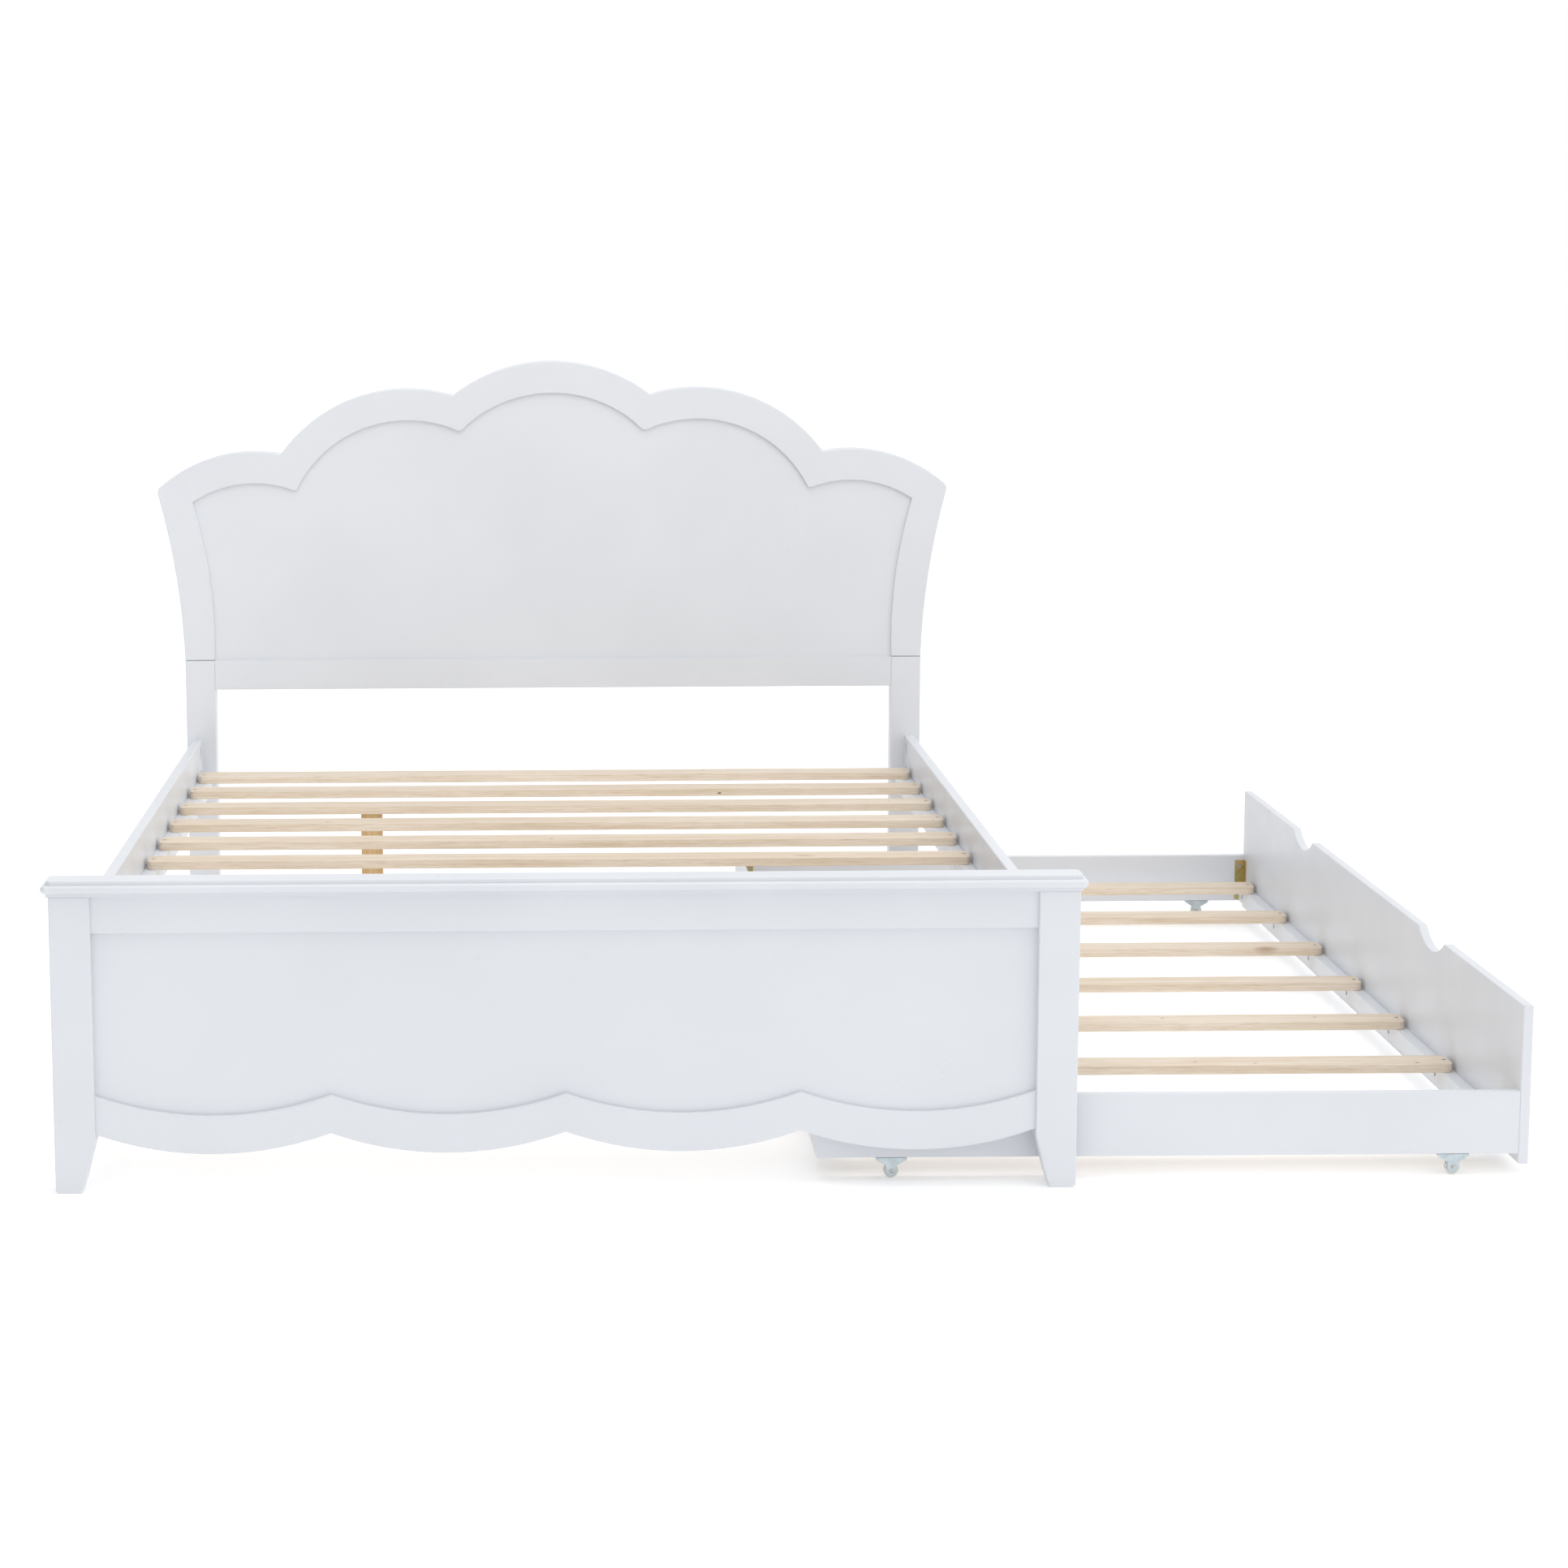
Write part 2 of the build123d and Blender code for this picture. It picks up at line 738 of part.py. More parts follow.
def bed_slat(middle):
    width = bed_slat_width
    board = slat(-bed_slat_end, bed_slat_end, middle, width, bed_slat_seat, bed_slat_thickness)
    starts = [start for start in bed_slat_screw_starts() if start[1] == middle]
    rooms = [screw_room(start, (0, 0, -1), slat_screw_length) for start in starts]
    return cut_rods(board, rooms + support_dowels())


def trundle_slat(middle):
    left = trundle_back_inner + slat_end_gap
    right = trundle_front_inner - slat_end_gap
    board = slat(left, right, middle, trundle_slat_width, trundle_slat_seat, trundle_slat_thickness)
    starts = [start for start in trundle_slat_screw_starts() if start[1] == middle]
    rooms = [screw_room(start, (0, 0, -1), slat_screw_length) for start in starts]
    return cut_rods(board, rooms)


def support_leg(middle):
    half = support_leg_size / 2
    left = support_leg_center - half
    right = support_leg_center + half
    leg = plank(left, right, middle - half, middle + half, 0, bed_slat_seat, Axis.Z, arris)
    return cut_rods(leg, support_dowels())


# ---- trundle ----
def trundle_front_panel():
    outline = rectangle(trundle_foot, trundle_head, trundle_panel_bottom, trundle_panel_top)
    radius = (scoop_width**2 / 4 + scoop_depth**2) / (2 * scoop_depth)
    for middle in (trundle_foot + scoop_from_ends, trundle_head - scoop_from_ends):
        outline = outline - Pos(middle, trundle_panel_top - scoop_depth + radius) * Circle(radius)
    lips = [point for point in outline.vertices() if trundle_foot < point.X < trundle_head]
    outline = fillet(lips, scoop_corner)
    panel = soften(through_x(outline, trundle_front_inner, trundle_front), Axis.X, arris)
    return cut_rods(panel, trundle_screw_rooms())


def trundle_screw_rooms():
    lines = [screw_room(start, way, trundle_cleat_screw_length) for start, way in trundle_cleat_screw_lines()]
    lines += [screw_room(start, way, bracket_screw_length) for start, way in bracket_screw_lines()]
    return lines


def trundle_back_board():
    low = trundle_rail_bottom
    top = trundle_rail_top
    board = plank(trundle_back, trundle_back_inner, trundle_foot, trundle_head, low, top, Axis.Y, arris)
    return cut_rods(board, trundle_screw_rooms())


def trundle_end_rail(y0, y1):
    left = trundle_back_inner
    right = trundle_front_inner
    rail = plank(left, right, y0, y1, trundle_rail_bottom, trundle_rail_top, Axis.X, arris)
    rooms = [screw_room(start, way, bracket_screw_length) for start, way in bracket_screw_lines()]
    rooms += [rod(start, (0, 0, 1), caster_screw_length, screw_diameter) for start in caster_screw_starts()]
    return cut_rods(rail, rooms)


def trundle_cleat(x0, x1):
    low = trundle_slat_seat - trundle_cleat_height
    foot = trundle_foot_inner + trundle_cleat_end_gap
    head = trundle_head_inner - trundle_cleat_end_gap
    cleat = plank(x0, x1, foot, head, low, trundle_slat_seat, Axis.Y, fine_arris)
    rooms = [screw_room(start, (0, 0, -1), slat_screw_length) for start in trundle_slat_screw_starts()]
    for start, way in trundle_cleat_screw_lines():
        rooms.append(screw_room(start, way, trundle_cleat_screw_length))
        opposite = (-way[0], 0, 0)
        rooms.append(rod(start, opposite, counterbore_depth, counterbore_diameter))
    return cut_rods(cleat, rooms)


def corner_brackets():
    brackets = []
    for x, y, along_x, along_y in bracket_corners():
        outline = Polyline(
            (x, y),
            (x + along_x * bracket_leg, y),
            (x + along_x * bracket_leg, y + along_y * bracket_thickness),
            (x + along_x * bracket_thickness, y + along_y * bracket_thickness),
            (x + along_x * bracket_thickness, y + along_y * bracket_leg),
            (x, y + along_y * bracket_leg),
            close=True,
        )
        height = bracket_top - bracket_bottom
        plate = Pos(0, 0, bracket_bottom) * extrude(make_face(outline), amount=height)
        rooms = [screw_room(start, way, bracket_screw_length) for start, way in bracket_screw_lines()]
        brackets.append(cut_rods(plate, rooms))
    return brackets


# ---- casters ----
def caster_fork(x, y):
    # A folded plate: a strip under the rail and two cheeks that narrow down to the axle.
    top = trundle_rail_bottom
    half_plate = fork_plate_length / 2
    half_foot = fork_foot_length / 2
    cheek = Polyline(
        (x - half_plate, top),
        (x - half_plate, top - fork_plate_lip),
        (x - half_foot, wheel_radius + half_foot),
        (x - half_foot, wheel_radius),
    )
    bottom = ThreePointArc(
        (x - half_foot, wheel_radius),
        (x, wheel_radius - half_foot),
        (x + half_foot, wheel_radius),
    )
    other = Polyline(
        (x + half_foot, wheel_radius),
        (x + half_foot, wheel_radius + half_foot),
        (x + half_plate, top - fork_plate_lip),
        (x + half_plate, top),
        (x - half_plate, top),
    )
    outline = make_face(cheek.edges() + bottom.edges() + other.edges())
    half_depth = trundle_board / 2
    fork = through_y(outline, y - half_depth, y + half_depth)
    inner = half_depth - fork_sheet
    fork = fork - block(x - half_plate, x + half_plate, y - inner, y + inner, 0, top - fork_sheet)
    fork = fork - rod((x, y - half_depth, wheel_radius), (0, 1, 0), trundle_board, axle_diameter)
    rooms = [rod(start, (0, 0, 1), fork_sheet, screw_diameter) for start in caster_screw_starts()]
    return cut_rods(fork, rooms)


def caster_wheel(x, y):
    half = wheel_width / 2
    wheel = rod((x, y - half, wheel_radius), (0, 1, 0), wheel_width, wheel_diameter)
    wheel = soften(wheel, Axis.Y, wheel_edge_round)
    recess_start = half - wheel_hub_recess
    for side in (-1, 1):
        start = (x, y + side * recess_start, wheel_radius)
        ring = rod(start, (0, side, 0), wheel_hub_recess, wheel_hub_diameter)
        boss = rod(start, (0, side, 0), wheel_hub_recess, 2 * axle_diameter)
        wheel = wheel - (ring - boss)
    bore = axle_diameter + 2 * axle_fit
    return wheel - rod((x, y - half, wheel_radius), (0, 1, 0), wheel_width, bore)


def caster_axle(x, y):
    # A plain pin, ending flush with the outer faces of the fork's cheeks.
    half = trundle_board / 2
    return rod((x, y - half, wheel_radius), (0, 1, 0), trundle_board, axle_diameter)


def caster_screw(start):
    # A round-headed screw, up through the caster plate into the rail.
    shank = rod(start, (0, 0, 1), caster_screw_length, screw_diameter)
    head = rod(start, (0, 0, -1), screw_head_height, screw_head_diameter)
    head = fillet(head.faces().sort_by(Axis.Z)[0].edges(), fine_arris)
    return shank + head


# ---- the whole bed ----
def bed_nodes():
    nodes = {
        "headboard_rim": [headboard_rim()],
        "headboard_panel": [headboard_panel()],
        "headboard_lower_rail": [headboard_lower_rail()],
        "headboard_right_post": [headboard_post()],
        "headboard_left_post": [mirrored(headboard_post())],
        "headboard_dowels": headboard_dowels(),
        "footboard_right_leg": [footboard_leg()],
        "footboard_left_leg": [mirrored(footboard_leg())],
        "footboard_cap": [footboard_cap()],
        "footboard_upper_rail": [footboard_upper_rail()],
        "footboard_panel": [footboard_panel()],
        "footboard_scalloped_rail": [footboard_scalloped_rail()],
        "footboard_dowels": footboard_dowels(),
        "right_side_rail": [side_rail()],
        "left_side_rail": [mirrored(side_rail())],
        "right_slat_cleat": [slat_cleat()],
        "left_slat_cleat": [mirrored(slat_cleat())],
        "support_leg_dowels": support_dowels(),
        "bed_bolts": bed_bolts(),
        "bolt_washers": bolt_washers(),
        "bolt_nuts": bolt_nuts(),
    }
    for index, middle in enumerate(bed_slat_middles()):
        nodes[f"bed_slat_{index + 1}"] = [bed_slat(middle)]
    for index, middle in enumerate(support_leg_places()):
        nodes[f"support_leg_{index + 1}"] = [support_leg(middle)]
    down = (0, 0, -1)
    nodes["bed_slat_screws"] = [screw(start, down, slat_screw_length) for start in bed_slat_screw_starts()]
    side_screws = []
    for side in (-1, 1):
        for start in side_cleat_screw_starts(side):
            side_screws.append(screw(start, (side, 0, 0), side_cleat_screw_length))
    nodes["side_cleat_screws"] = side_screws
    return nodes


def trundle_nodes():
    front = trundle_front_inner
    back = trundle_back_inner
    nodes = {
        "trundle_front_panel": [trundle_front_panel()],
        "trundle_back_board": [trundle_back_board()],
        "trundle_foot_rail": [trundle_end_rail(trundle_foot, trundle_foot_inner)],
        "trundle_head_rail": [trundle_end_rail(trundle_head_inner, trundle_head)],
        "trundle_front_cleat": [trundle_cleat(front - cleat_width, front)],
        "trundle_back_cleat": [trundle_cleat(back, back + cleat_width)],
        "trundle_corner_brackets": corner_brackets(),
    }
    for index, middle in enumerate(trundle_slat_middles()):
        nodes[f"trundle_slat_{index + 1}"] = [trundle_slat(middle)]
    down = (0, 0, -1)
    slat_starts = trundle_slat_screw_starts()
    cleat_lines = trundle_cleat_screw_lines()
    bracket_lines = bracket_screw_lines()
    length = trundle_cleat_screw_length
    nodes["trundle_slat_screws"] = [screw(start, down, slat_screw_length) for start in slat_starts]
    nodes["trundle_cleat_screws"] = [screw(start, way, length) for start, way in cleat_lines]
    nodes["bracket_screws"] = [screw(start, way, bracket_screw_length) for start, way in bracket_lines]
    return nodes


def caster_nodes():
    places = caster_places()
    nodes = {
        "caster_forks": [caster_fork(x, y) for x, y in places],
        "caster_axles": [caster_axle(x, y) for x, y in places],
        "caster_screws": [caster_screw(start) for start in caster_screw_starts()],
    }
    for index, (x, y) in enumerate(places):
        nodes[f"caster_wheel_{index + 1}"] = [caster_wheel(x, y)]
    return nodes


def solids_of(shapes):
    solids = []
    for shape in shapes:
        solids += shape.solids()
    return solids


def write_parts():
    # The origin is on the floor, under the middle of the whole object.
    os.makedirs("parts", exist_ok=True)
    nodes = bed_nodes() | trundle_nodes() | caster_nodes()
    move = Pos(-origin_x, -origin_y, 0)
    for name, shapes in nodes.items():
        solids = [move * solid for solid in solids_of(shapes)]
        shape = solids[0] if len(solids) == 1 else Compound(children=solids)
        export_step(shape, f"parts/{name}.step")
    print(f"{len(nodes)} nodes; origin at {origin_x}, {origin_y} from the middle of the foot end")


write_parts()
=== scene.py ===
import json
import math
import bpy
from mathutils import Matrix, Vector


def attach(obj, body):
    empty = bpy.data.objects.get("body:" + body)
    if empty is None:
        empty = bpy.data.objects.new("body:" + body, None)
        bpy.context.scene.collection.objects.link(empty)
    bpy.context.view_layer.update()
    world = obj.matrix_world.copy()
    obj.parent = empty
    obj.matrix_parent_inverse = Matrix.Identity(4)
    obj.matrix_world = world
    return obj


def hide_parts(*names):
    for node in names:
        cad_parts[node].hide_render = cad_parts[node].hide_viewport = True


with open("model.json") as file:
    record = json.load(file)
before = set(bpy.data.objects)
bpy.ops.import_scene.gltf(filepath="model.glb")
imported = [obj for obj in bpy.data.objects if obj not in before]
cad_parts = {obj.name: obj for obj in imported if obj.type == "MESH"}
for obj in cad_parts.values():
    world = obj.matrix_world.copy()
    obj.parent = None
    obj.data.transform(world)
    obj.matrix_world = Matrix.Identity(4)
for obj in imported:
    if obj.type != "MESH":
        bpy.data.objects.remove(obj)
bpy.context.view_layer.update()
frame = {"nodes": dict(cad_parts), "record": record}
print("frame loaded:", len(frame["nodes"]), "nodes")


# small helpers

def linearColour(hexText, alpha=1.0):
    # an sRGB hex colour as Blender's linear numbers
    values = []
    for start in (0, 2, 4):
        part = int(hexText[start:start + 2], 16) / 255
        values.append(part / 12.92 if part <= 0.04045 else ((part + 0.055) / 1.055) ** 2.4)
    return (*values, alpha)


def addNode(tree, kind, settings=None, **links):
    # one shader node: settings go on the node, numbers and links on its inputs
    node = tree.nodes.new(kind)
    for name, value in (settings or {}).items():
        setattr(node, name, value)
    for name, value in links.items():
        socket = node.inputs[int(name[1:])] if name[1:].isdigit() else node.inputs[name.replace("_", " ")]
        if isinstance(value, bpy.types.NodeSocket):
            tree.links.new(value, socket)
        else:
            socket.default_value = value
    return node


def addRamp(tree, factor, stops):
    # a colour ramp from (place, hex colour) stops
    ramp = addNode(tree, "ShaderNodeValToRGB", Fac=factor)
    elements = ramp.color_ramp.elements
    while len(elements) < len(stops):
        elements.new(0.5)
    for element, (place, hexText) in zip(elements, stops):
        element.position = place
        element.color = linearColour(hexText)
    return ramp.outputs["Color"]


def addSpan(tree, value, low, high, newLow, newHigh):
    # spreads a value from one range onto another, clamped
    span = addNode(tree, "ShaderNodeMapRange", Value=value)
    for name, number in (("From Min", low), ("From Max", high), ("To Min", newLow), ("To Max", newHigh)):
        span.inputs[name].default_value = number
    return span.outputs["Result"]


def perMetre(millimetres):
    # texture scale for a pattern whose repeat is this long
    return 1000.0 / millimetres


def newMaterial(name):
    material = bpy.data.materials.new(name)
    material.use_nodes = True
    tree = material.node_tree
    shader = tree.nodes["Principled BSDF"]
    place = addNode(tree, "ShaderNodeTexCoord").outputs["Object"]
    return material, tree, shader, place


def addNoise(tree, place, repeat, detail=3.0, roughness=0.5, stretch=(1, 1, 1), slide=(0, 0, 0)):
    # noise of a real size in millimetres, stretched along the axes it is divided by
    mapping = addNode(tree, "ShaderNodeMapping", Vector=place)
    mapping.inputs["Scale"].default_value = [1 / part for part in stretch]
    mapping.inputs["Location"].default_value = slide
    noise = addNode(tree, "ShaderNodeTexNoise", Vector=mapping.outputs["Vector"], Scale=perMetre(repeat),
                    Detail=detail, Roughness=roughness)
    return noise.outputs["Fac"]


def mixColour(tree, factor, first, second, blend="MIX"):
    mix = addNode(tree, "ShaderNodeMix", {"data_type": "RGBA", "blend_type": blend}, i0=factor)
    for socket, value in ((mix.inputs[6], first), (mix.inputs[7], second)):
        if isinstance(value, bpy.types.NodeSocket):
            tree.links.new(value, socket)
        else:
            socket.default_value = value
    return mix.outputs[2]


def addBump(tree, shader, height, distance):
    bump = addNode(tree, "ShaderNodeBump", Height=height, Distance=distance, Strength=1.0)
    tree.links.new(bump.outputs["Normal"], shader.inputs["Normal"])


def setRoughness(tree, shader, pattern, span):
    low, high = span
    tree.links.new(addSpan(tree, pattern, 0.3, 0.7, low, high), shader.inputs["Roughness"])


# materials

paint = {
    "light": "DCDFE4", "dark": "D9DCE1", "mottle": 260, "roughness": (0.34, 0.46), "cloud": 60,
    "peel": 2.2, "peelHeight": 0.00005, "coat": 0.12, "coatRoughness": 0.25,
    "rub": "B9BBBE", "rubSize": 9, "rubStretch": (1, 6, 1), "rubEdge": (0.66, 0.74), "rubStrength": 0.22,
    "rubSpacing": 420, "rubSlide": (3.1, 1.7, 5.2), "rubArea": (0.60, 0.68),
}


def satinWhitePaint():
    # sprayed satin lacquer on MDF: a soft broad shine, a faint orange peel and the odd rub mark
    material, tree, shader, place = newMaterial("satinWhitePaint")
    mottle = addNoise(tree, place, paint["mottle"], 2)
    colour = addRamp(tree, mottle, [(0.35, paint["dark"]), (0.62, paint["light"])])
    rubs = addNoise(tree, place, paint["rubSize"], 4, 0.6, paint["rubStretch"])
    areas = addNoise(tree, place, paint["rubSpacing"], 1, 0.4, slide=paint["rubSlide"])
    rubMask = addNode(tree, "ShaderNodeMath", {"operation": "MULTIPLY"},
                      i0=addSpan(tree, rubs, *paint["rubEdge"], 0, paint["rubStrength"]),
                      i1=addSpan(tree, areas, *paint["rubArea"], 0, 1))
    colour = mixColour(tree, rubMask.outputs[0], colour, linearColour(paint["rub"]))
    tree.links.new(colour, shader.inputs["Base Color"])
    setRoughness(tree, shader, addNoise(tree, place, paint["cloud"], 3), paint["roughness"])
    shader.inputs["IOR"].default_value = 1.5
    shader.inputs["Coat Weight"].default_value = paint["coat"]
    shader.inputs["Coat Roughness"].default_value = paint["coatRoughness"]
    addBump(tree, shader, addNoise(tree, place, paint["peel"], 1), paint["peelHeight"])
    return material


poplar = {
    "pale": "ECE0D1", "middle": "E0D0BC", "deep": "CFBB9F", "line": "B0956F",
    "speck": "5E4630", "knot": "9A744B",
    "fibre": 1.6, "band": 11, "roughness": (0.48, 0.66), "ply": 2.8, "speckSpacing": 55, "knotSpacing": 210,
}


grain = {
    "stretch": 26, "bandSlide": (0.7, 0.2, 0.4), "depth": 0.00012,
    "lineEdge": (0.45, 0.75), "lineStrength": 0.42,
    "board": 170, "boardStretch": 12, "boardSlide": (2.3, 0.9, 0.1), "boardMix": 0.45,
    "wobble": 0.0009, "seamWidth": 0.00035, "seamStrength": 0.30,
}
specks = {"squeeze": 0.45, "slide": (0, 0, 0), "edge": (0.022, 0.04), "strength": 0.85}
knots = {"squeeze": 0.6, "slide": (0.31, 0.12, 0.05), "edge": (0.02, 0.075), "strength": 0.6}


def alongGrain(along, share):
    return [share if axis == along else 1 for axis in "XYZ"]


def addSpots(tree, colour, place, along, spots, spotColour, spacing):
    # scattered round marks, longer along the grain, over a colour
    mapping = addNode(tree, "ShaderNodeMapping", Vector=place)
    mapping.inputs["Scale"].default_value = alongGrain(along, spots["squeeze"])
    mapping.inputs["Location"].default_value = spots["slide"]
    cells = addNode(tree, "ShaderNodeTexVoronoi", Vector=mapping.outputs["Vector"], Scale=perMetre(spacing))
    mask = addSpan(tree, cells.outputs["Distance"], *spots["edge"], spots["strength"], 0)
    return mixColour(tree, mask, colour, linearColour(spotColour))


def addPlies(tree, colour, place, band, colours):
    # level glue lines between the plies, wandering slightly with the grain
    parts = addNode(tree, "ShaderNodeSeparateXYZ", Vector=place)
    wobble = addSpan(tree, band, 0, 1, -grain["wobble"], grain["wobble"])
    height = addNode(tree, "ShaderNodeMath", {"operation": "ADD"}, i0=parts.outputs["Z"], i1=wobble)
    ply = addNode(tree, "ShaderNodeMath", {"operation": "PINGPONG"}, i0=height.outputs[0],
                  i1=colours["ply"] / 1000)
    seam = addSpan(tree, ply.outputs[0], 0.0, grain["seamWidth"], grain["seamStrength"], 0)
    return mixColour(tree, seam, colour, linearColour(colours["line"]))


def plainWood(name, colours, along):
    # sanded wood: long pale fibres, thin glue lines where it has plies, dark specks and a few small knots
    material, tree, shader, place = newMaterial(name)
    stretch = alongGrain(along, grain["stretch"])
    fibre = addNoise(tree, place, colours["fibre"], 3, 0.6, stretch)
    band = addNoise(tree, place, colours["band"], 4, 0.55, stretch, grain["bandSlide"])
    broad = alongGrain(along, grain["boardStretch"])
    board = addNoise(tree, place, grain["board"], 1, 0.3, broad, grain["boardSlide"])
    stops = [(0.30, colours["deep"]), (0.50, colours["middle"]), (0.68, colours["pale"])]
    stripes = addRamp(tree, band, stops)
    tone = addRamp(tree, board, [(0.35, colours["middle"]), (0.65, colours["pale"])])
    colour = mixColour(tree, grain["boardMix"], stripes, tone)
    lines = addSpan(tree, fibre, *grain["lineEdge"], 0, grain["lineStrength"])
    colour = mixColour(tree, lines, colour, linearColour(colours["line"]))
    if "ply" in colours:
        colour = addPlies(tree, colour, place, band, colours)
    colour = addSpots(tree, colour, place, along, specks, colours["speck"], colours["speckSpacing"])
    colour = addSpots(tree, colour, place, along, knots, colours["knot"], colours["knotSpacing"])
    tree.links.new(colour, shader.inputs["Base Color"])
    setRoughness(tree, shader, fibre, colours["roughness"])
    shader.inputs["IOR"].default_value = 1.45
    addBump(tree, shader, fibre, grain["depth"])
    return material


pine = {
    "pale": "D9BB8C", "middle": "C9A777", "deep": "B08A58", "line": "8E6A40",
    "speck": "6B4A2C", "knot": "7E5833",
    "fibre": 1.8, "band": 9, "roughness": (0.5, 0.68), "speckSpacing": 140, "knotSpacing": 260,
}

beech = {
    "pale": "E2C8A0", "middle": "D2B284", "deep": "BD9765", "line": "A27C4E",
    "speck": "7B5A36", "knot": "8A6640",
    "fibre": 1.0, "band": 5, "roughness": (0.5, 0.6), "speckSpacing": 90, "knotSpacing": 400,
}


def platedSteel(name, colours, roughness, cloud=14, scratch=1.2):
    # zinc-plated steel: a metal sheen whose tint drifts over the surface, with fine drawing marks
    material, tree, shader, place = newMaterial(name)
    drift = addNoise(tree, place, cloud, 3, 0.6)
    stops = [(0.28 + 0.44 * index / (len(colours) - 1), hexText) for index, hexText in enumerate(colours)]
    tree.links.new(addRamp(tree, drift, stops), shader.inputs["Base Color"])
    marks = addNoise(tree, place, scratch, 3, 0.6, (1, 1, 14))
    setRoughness(tree, shader, marks, roughness)
    shader.inputs["Metallic"].default_value = 1.0
    addBump(tree, shader, marks, 0.00002)
    return material


nylon = {
    "dusty": "CFCFC9", "clean": "E9E9E4", "dust": 4, "roughness": (0.38, 0.55), "grain": 0.8, "depth": 0.00003,
}


def mouldedNylon():
    # moulded nylon wheels: pale and slightly waxy, with dust worked into the tread
    material, tree, shader, place = newMaterial("mouldedNylon")
    dust = addNoise(tree, place, nylon["dust"], 4, 0.6)
    colour = addRamp(tree, dust, [(0.35, nylon["dusty"]), (0.6, nylon["clean"])])
    tree.links.new(colour, shader.inputs["Base Color"])
    setRoughness(tree, shader, dust, nylon["roughness"])
    shader.inputs["IOR"].default_value = 1.53
    addBump(tree, shader, addNoise(tree, place, nylon["grain"], 2), nylon["depth"])
    return material


materials = {
    "white_paint": satinWhitePaint(),
    "slat_wood": plainWood("laminatedPoplar", poplar, "X"),
    "leg_wood": plainWood("planedPine", pine, "Z"),
    "dowel_wood": plainWood("turnedBeech", beech, "Z"),
    "yellow_zinc": platedSteel("yellowZincSteel", ["A69A55", "BDB06C", "CBB47E", "CDA289"], (0.28, 0.42)),
    "blue_zinc": platedSteel("blueZincSteel", ["AEBAC0", "BFCACF", "CED6D9"], (0.36, 0.5)),
    "screw_steel": platedSteel("zincPlatedScrews", ["9C9C98", "B9B9B4", "C9C8C0"], (0.25, 0.38), 5, 0.5),
    "wheel_nylon": mouldedNylon(),
}
slotOf = {part["node"]: part["material_slot"] for part in frame["record"]["subparts"]}
for nodeName, nodeObject in frame["nodes"].items():
    nodeObject.data.materials.clear()
    nodeObject.data.materials.append(materials[slotOf[nodeName]])
print("materials set on", len(slotOf), "nodes")


# built pieces

def middleOf(nodeName):
    # the middle of a CAD node, in metres
    node = frame["nodes"][nodeName]
    corners = [node.matrix_world @ Vector(corner) for corner in node.bound_box]
    return sum(corners, Vector()) / len(corners)


def addTube(radius, depth, place, vertices):
    # a cylinder along Y
    bpy.ops.object.select_all(action="DESELECT")
    bpy.ops.mesh.primitive_cylinder_add(vertices=vertices, radius=radius, depth=depth, location=place,
                                        rotation=(math.pi / 2, 0, 0))
    return bpy.context.object


smoothAngle = math.radians(32)


def selectOnly(*pieces):
    bpy.ops.object.select_all(action="DESELECT")
    for piece in pieces:
        piece.select_set(True)
    bpy.context.view_layer.objects.active = pieces[0]


def settle(piece, name, body, *nodes):
    # puts a finished piece's origin at the frame's origin and lets it stand for its CAD nodes
    selectOnly(piece)
    bpy.ops.object.transform_apply(location=True, rotation=True, scale=True)
    bpy.ops.object.mode_set(mode="EDIT")
    bpy.ops.mesh.select_all(action="SELECT")
    bpy.ops.mesh.normals_make_consistent(inside=False)
    bpy.ops.object.mode_set(mode="OBJECT")
    bpy.ops.object.shade_smooth_by_angle(angle=smoothAngle)
    piece.name = name
    piece.data.materials.clear()
    piece.data.materials.append(materials[slotOf[nodes[0]]])
    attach(piece, body)
    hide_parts(*nodes)


casterWheel = {
    "radius": 0.0105, "width": 0.009, "sides": 72, "tyre": 0.0032, "dish": 0.0012, "draft": 0.0006,
    "boss": 0.0036, "bore": 0.00205, "boreSides": 32, "edge": 0.0009, "edgeSteps": 4, "edgeAngle": math.radians(70),
}


def makeCasterWheel(number):
    # a moulded wheel: rounded tread, dished sides and a raised boss round the axle bore
    nodeName = f"caster_wheel_{number}"
    place = middleOf(nodeName)
    radius, draft, dish = casterWheel["radius"], casterWheel["draft"], casterWheel["dish"]
    wheel = addTube(radius, casterWheel["width"], place, casterWheel["sides"])
    web = radius - casterWheel["tyre"] - 2 * draft - casterWheel["boss"]
    bpy.ops.object.mode_set(mode="EDIT")
    bpy.ops.mesh.select_mode(type="FACE")
    bpy.ops.mesh.select_all(action="DESELECT")
    bpy.ops.mesh.select_face_by_sides(number=casterWheel["sides"], type="EQUAL")
    for thickness, depth in ((casterWheel["tyre"], 0), (draft, -dish), (web, 0), (draft, dish)):
        bpy.ops.mesh.inset(thickness=thickness, depth=depth, use_individual=True)
    bpy.ops.object.mode_set(mode="OBJECT")
    edges = wheel.modifiers.new("edges", "BEVEL")
    edges.width, edges.segments = casterWheel["edge"], casterWheel["edgeSteps"]
    edges.limit_method, edges.angle_limit = "ANGLE", casterWheel["edgeAngle"]
    bpy.ops.object.modifier_apply(modifier="edges")
    drill = addTube(casterWheel["bore"], 2 * casterWheel["width"], place, casterWheel["boreSides"])
    bore = wheel.modifiers.new("bore", "BOOLEAN")
    bore.operation, bore.object = "DIFFERENCE", drill
    selectOnly(wheel)
    bpy.ops.object.modifier_apply(modifier="bore")
    bpy.data.objects.remove(drill)
    settle(wheel, f"casterWheel_{number}", f"wheel_{number}", nodeName)


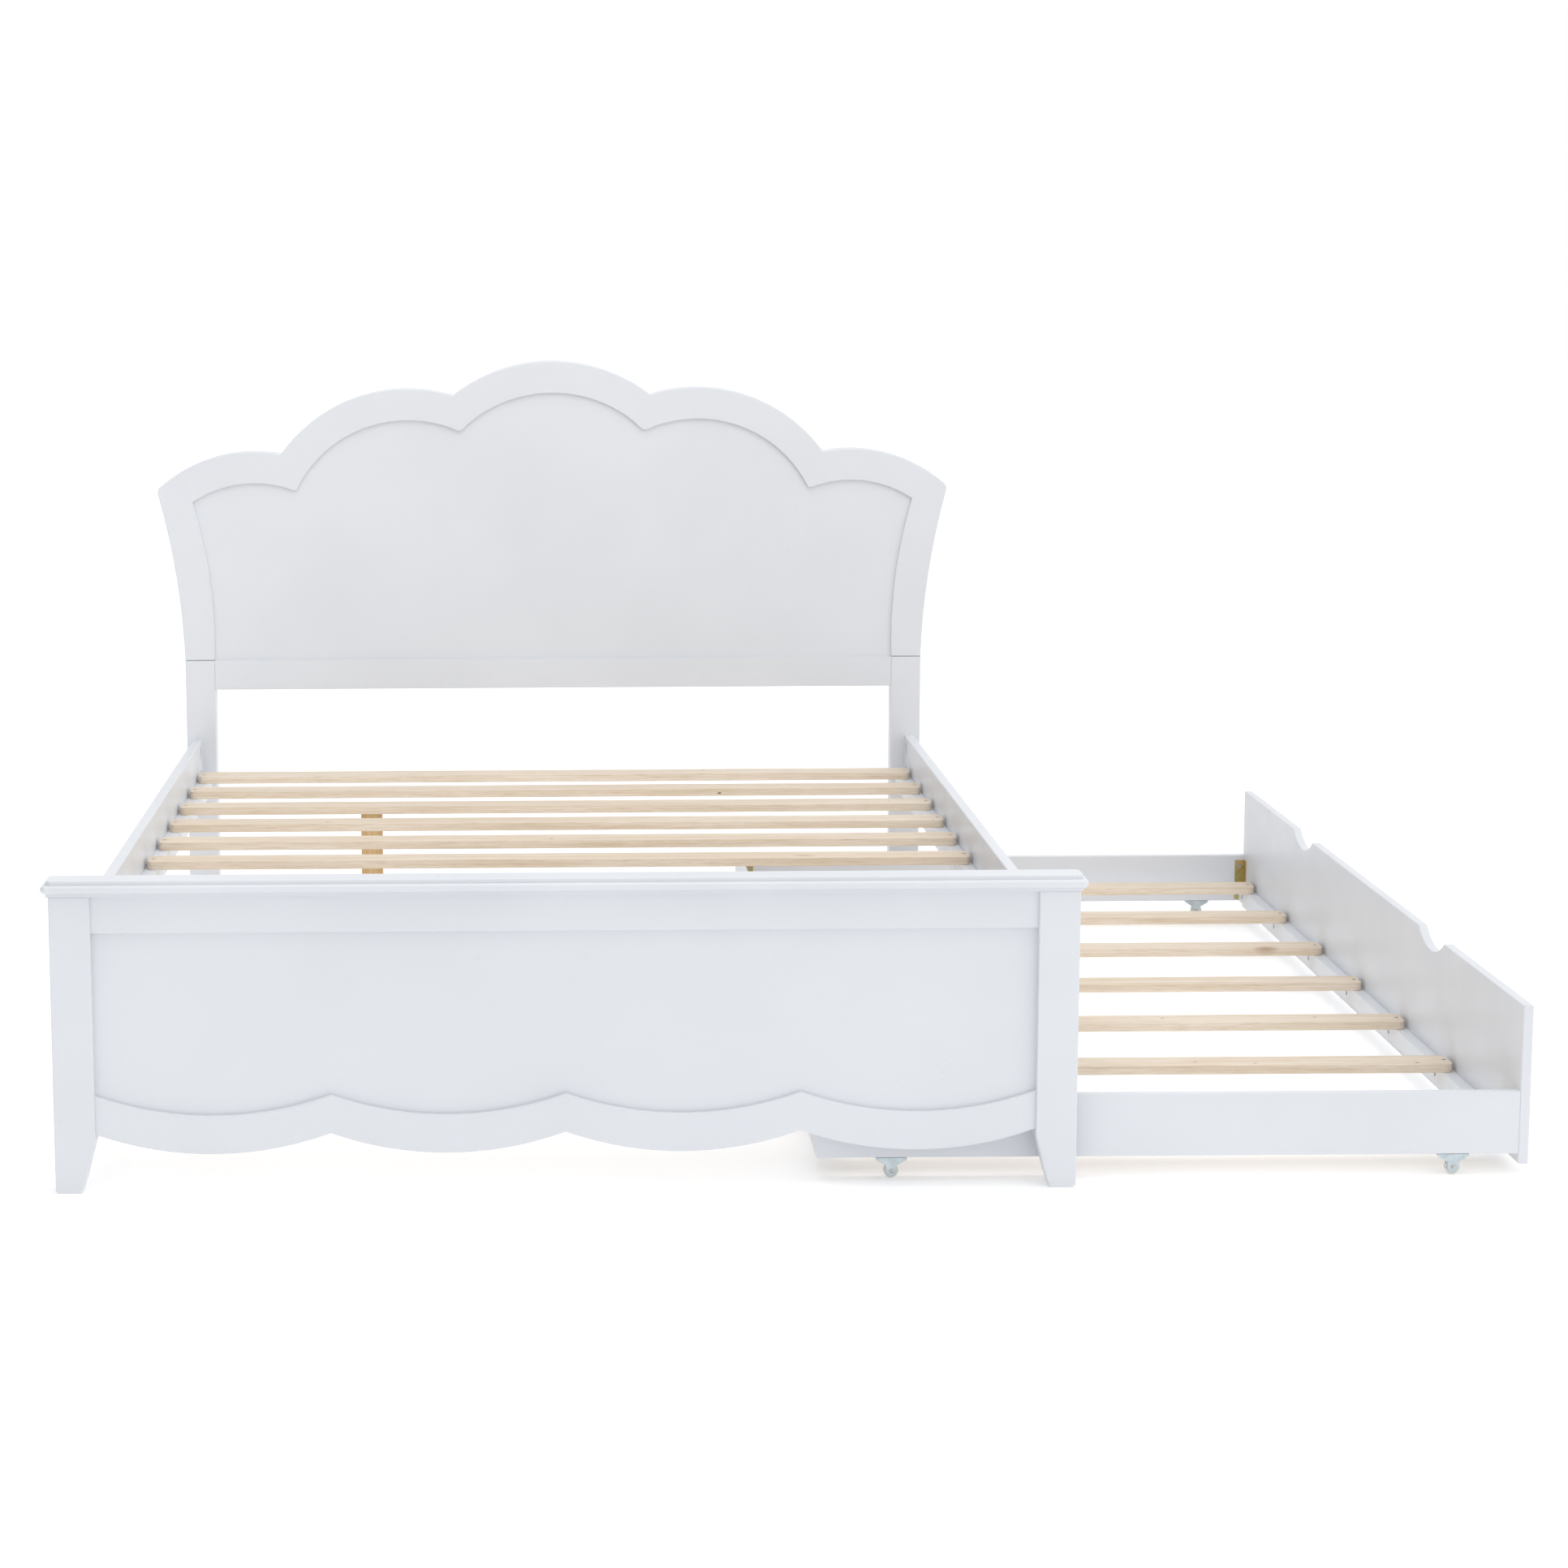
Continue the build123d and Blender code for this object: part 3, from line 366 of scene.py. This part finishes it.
rivet = {
    "radius": 0.002, "length": 0.015, "sides": 32, "head": 0.0031, "dome": 0.36, "headSides": 28, "headRings": 14,
}
wheelNumbers = (1, 2, 3, 4)


def makeRivets():
    # the four axles, each a rivet with a peened round head outside either cheek of its fork
    parts = []
    for number in wheelNumbers:
        place = middleOf(f"caster_wheel_{number}")
        parts.append(addTube(rivet["radius"], rivet["length"], place, rivet["sides"]))
        for side in (-1, 1):
            end = place + Vector((0, side * rivet["length"] / 2, 0))
            bpy.ops.mesh.primitive_uv_sphere_add(segments=rivet["headSides"], ring_count=rivet["headRings"],
                                                 radius=rivet["head"], location=end,
                                                 scale=(1, rivet["dome"], 1))
            parts.append(bpy.context.object)
    selectOnly(*parts)
    bpy.ops.object.join()
    settle(parts[0], "casterRivets", "trundle", "caster_axles")


for wheelNumber in wheelNumbers:
    makeCasterWheel(wheelNumber)
makeRivets()
print("caster wheels and rivets built")


# floor, light and camera

studio = {
    "floorSize": 60.0, "floorDark": "F6F6F6", "floorLight": "F9F9F9", "floorCloud": 900, "floorGlow": 0.22,
    "sky": "FFFFFF", "leftSky": "8C8F94", "leftEdge": (-0.9, -0.3), "skyStrength": 1.0,
}


def floorPaint():
    # a plain pale studio floor with barely visible unevenness
    material, tree, shader, place = newMaterial("paleFloor")
    cloud = addNoise(tree, place, studio["floorCloud"], 2)
    colour = addRamp(tree, cloud, [(0.3, studio["floorDark"]), (0.7, studio["floorLight"])])
    tree.links.new(colour, shader.inputs["Base Color"])
    shader.inputs["Roughness"].default_value = 0.75
    shader.inputs["Emission Color"].default_value = linearColour("FFFFFF")
    shader.inputs["Emission Strength"].default_value = studio["floorGlow"]
    return material


def makeFloor():
    bpy.ops.object.select_all(action="DESELECT")
    bpy.ops.mesh.primitive_plane_add(size=studio["floorSize"], location=(0, 0, 0))
    floor = bpy.context.object
    floor.name = "studioFloor"
    floor.data.materials.append(floorPaint())


lamps = [
    {"name": "ceilingSoftbox", "place": (-0.1, -0.9, 3.9), "aim": (-0.1, 0.9, 0.4), "size": 3.2, "watts": 44},
    {"name": "rightSoftbox", "place": (4.6, -2.2, 2.9), "aim": (0.1, 0.2, 0.4), "size": 2.6, "watts": 8},
]


def makeLamps():
    for lamp in lamps:
        data = bpy.data.lights.new(lamp["name"], "AREA")
        data.size = lamp["size"]
        data.energy = lamp["watts"]
        holder = bpy.data.objects.new(lamp["name"], data)
        holder.location = lamp["place"]
        toward = Vector(lamp["aim"]) - Vector(lamp["place"])
        holder.rotation_euler = toward.to_track_quat("-Z", "Y").to_euler()
        bpy.context.scene.collection.objects.link(holder)
    world = bpy.data.worlds.new("studioSky")
    world.use_nodes = True
    tree = world.node_tree
    direction = addNode(tree, "ShaderNodeTexCoord").outputs["Generated"]
    across = addNode(tree, "ShaderNodeSeparateXYZ", Vector=direction).outputs["X"]
    # the left side of the studio is unlit, so left faces go grey
    shade = addSpan(tree, across, *studio["leftEdge"], 0, 1)
    colour = addRamp(tree, shade, [(0.0, studio["leftSky"]), (1.0, studio["sky"])])
    background = tree.nodes["Background"]
    tree.links.new(colour, background.inputs["Color"])
    background.inputs["Strength"].default_value = studio["skyStrength"]
    bpy.context.scene.world = world


view = {
    "place": (-0.3537, -5.8008, 1.3364), "yaw": 0.0027, "pitch": 0.1559, "roll": 0.00586,
    "lens": 79.59, "sensor": 36.0, "shift": 0.1566,
}


def makeCamera():
    data = bpy.data.cameras.new("studioCamera")
    data.lens = view["lens"]
    data.sensor_width = view["sensor"]
    data.shift_x = view["shift"]
    camera = bpy.data.objects.new("studioCamera", data)
    turn = Matrix.Rotation(-view["yaw"], 4, "Z") @ Matrix.Rotation(math.pi / 2 - view["pitch"], 4, "X")
    turn = turn @ Matrix.Rotation(-view["roll"], 4, "Z")
    camera.matrix_world = Matrix.Translation(view["place"]) @ turn
    bpy.context.scene.collection.objects.link(camera)
    bpy.context.scene.camera = camera


makeFloor()
makeLamps()
makeCamera()
bpy.context.scene.view_settings.view_transform = "Standard"
print("floor, lamps and camera placed")
